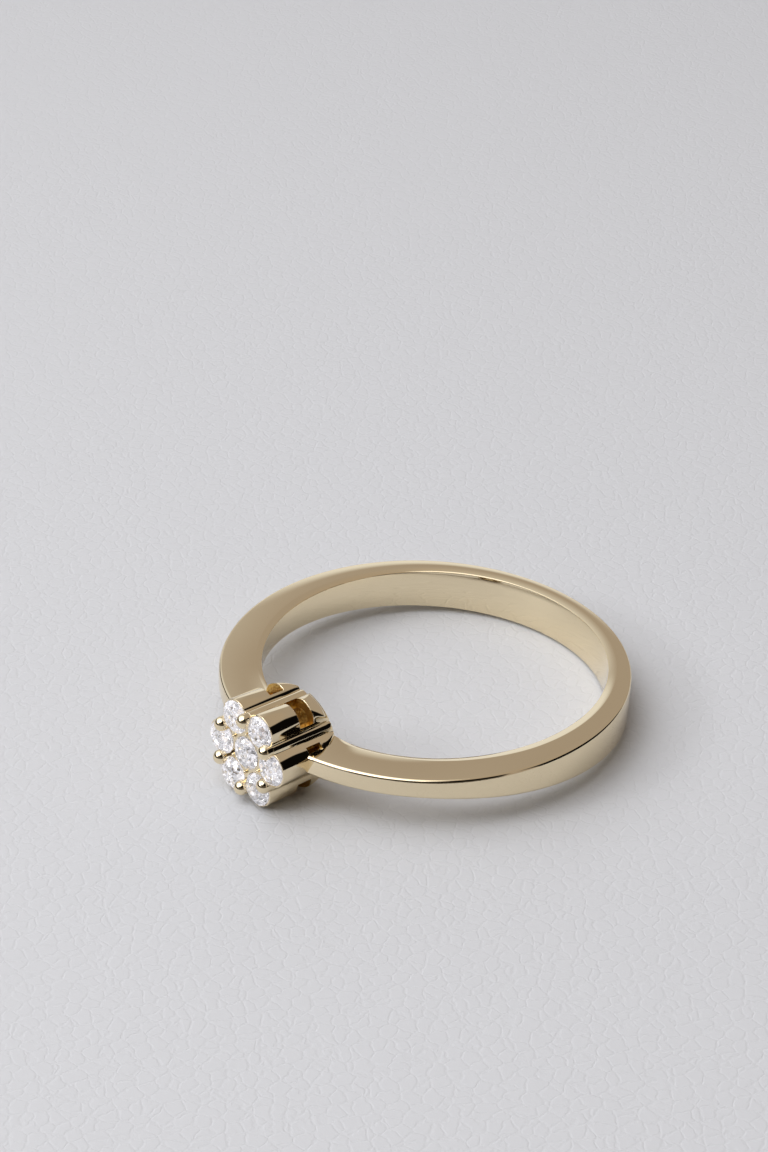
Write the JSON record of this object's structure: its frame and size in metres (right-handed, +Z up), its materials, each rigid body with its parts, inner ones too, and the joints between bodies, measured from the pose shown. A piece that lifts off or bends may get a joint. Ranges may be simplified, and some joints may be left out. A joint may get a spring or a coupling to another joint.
{
  "type": "flower ring",
  "caption": "Finger ring lying on its side: a tapered gold band with a flower cluster of round brilliants, held by round prongs in a lobed basket with windows.",
  "frame": {"origin": "middle of the ring's box, on the surface that it lies on", "axes": "+Y from the flower to the back of the band, +Z up, +X across the band; the finger axis leans 3.9 degrees from +Z towards +Y"},
  "size_m": [0.0202, 0.0222, 0.0051],
  "materials": {
    "gold": "polished yellow gold, finely scratched by wear",
    "diamond": "clear faceted brilliant"
  },
  "bodies": {
    "root": {"ring_mount": "gold", "centre_stone": "diamond", "petal_stone_1": "diamond", "petal_stone_2": "diamond", "petal_stone_3": "diamond", "petal_stone_4": "diamond", "petal_stone_5": "diamond", "petal_stone_6": "diamond"}
  },
  "joints": []
}
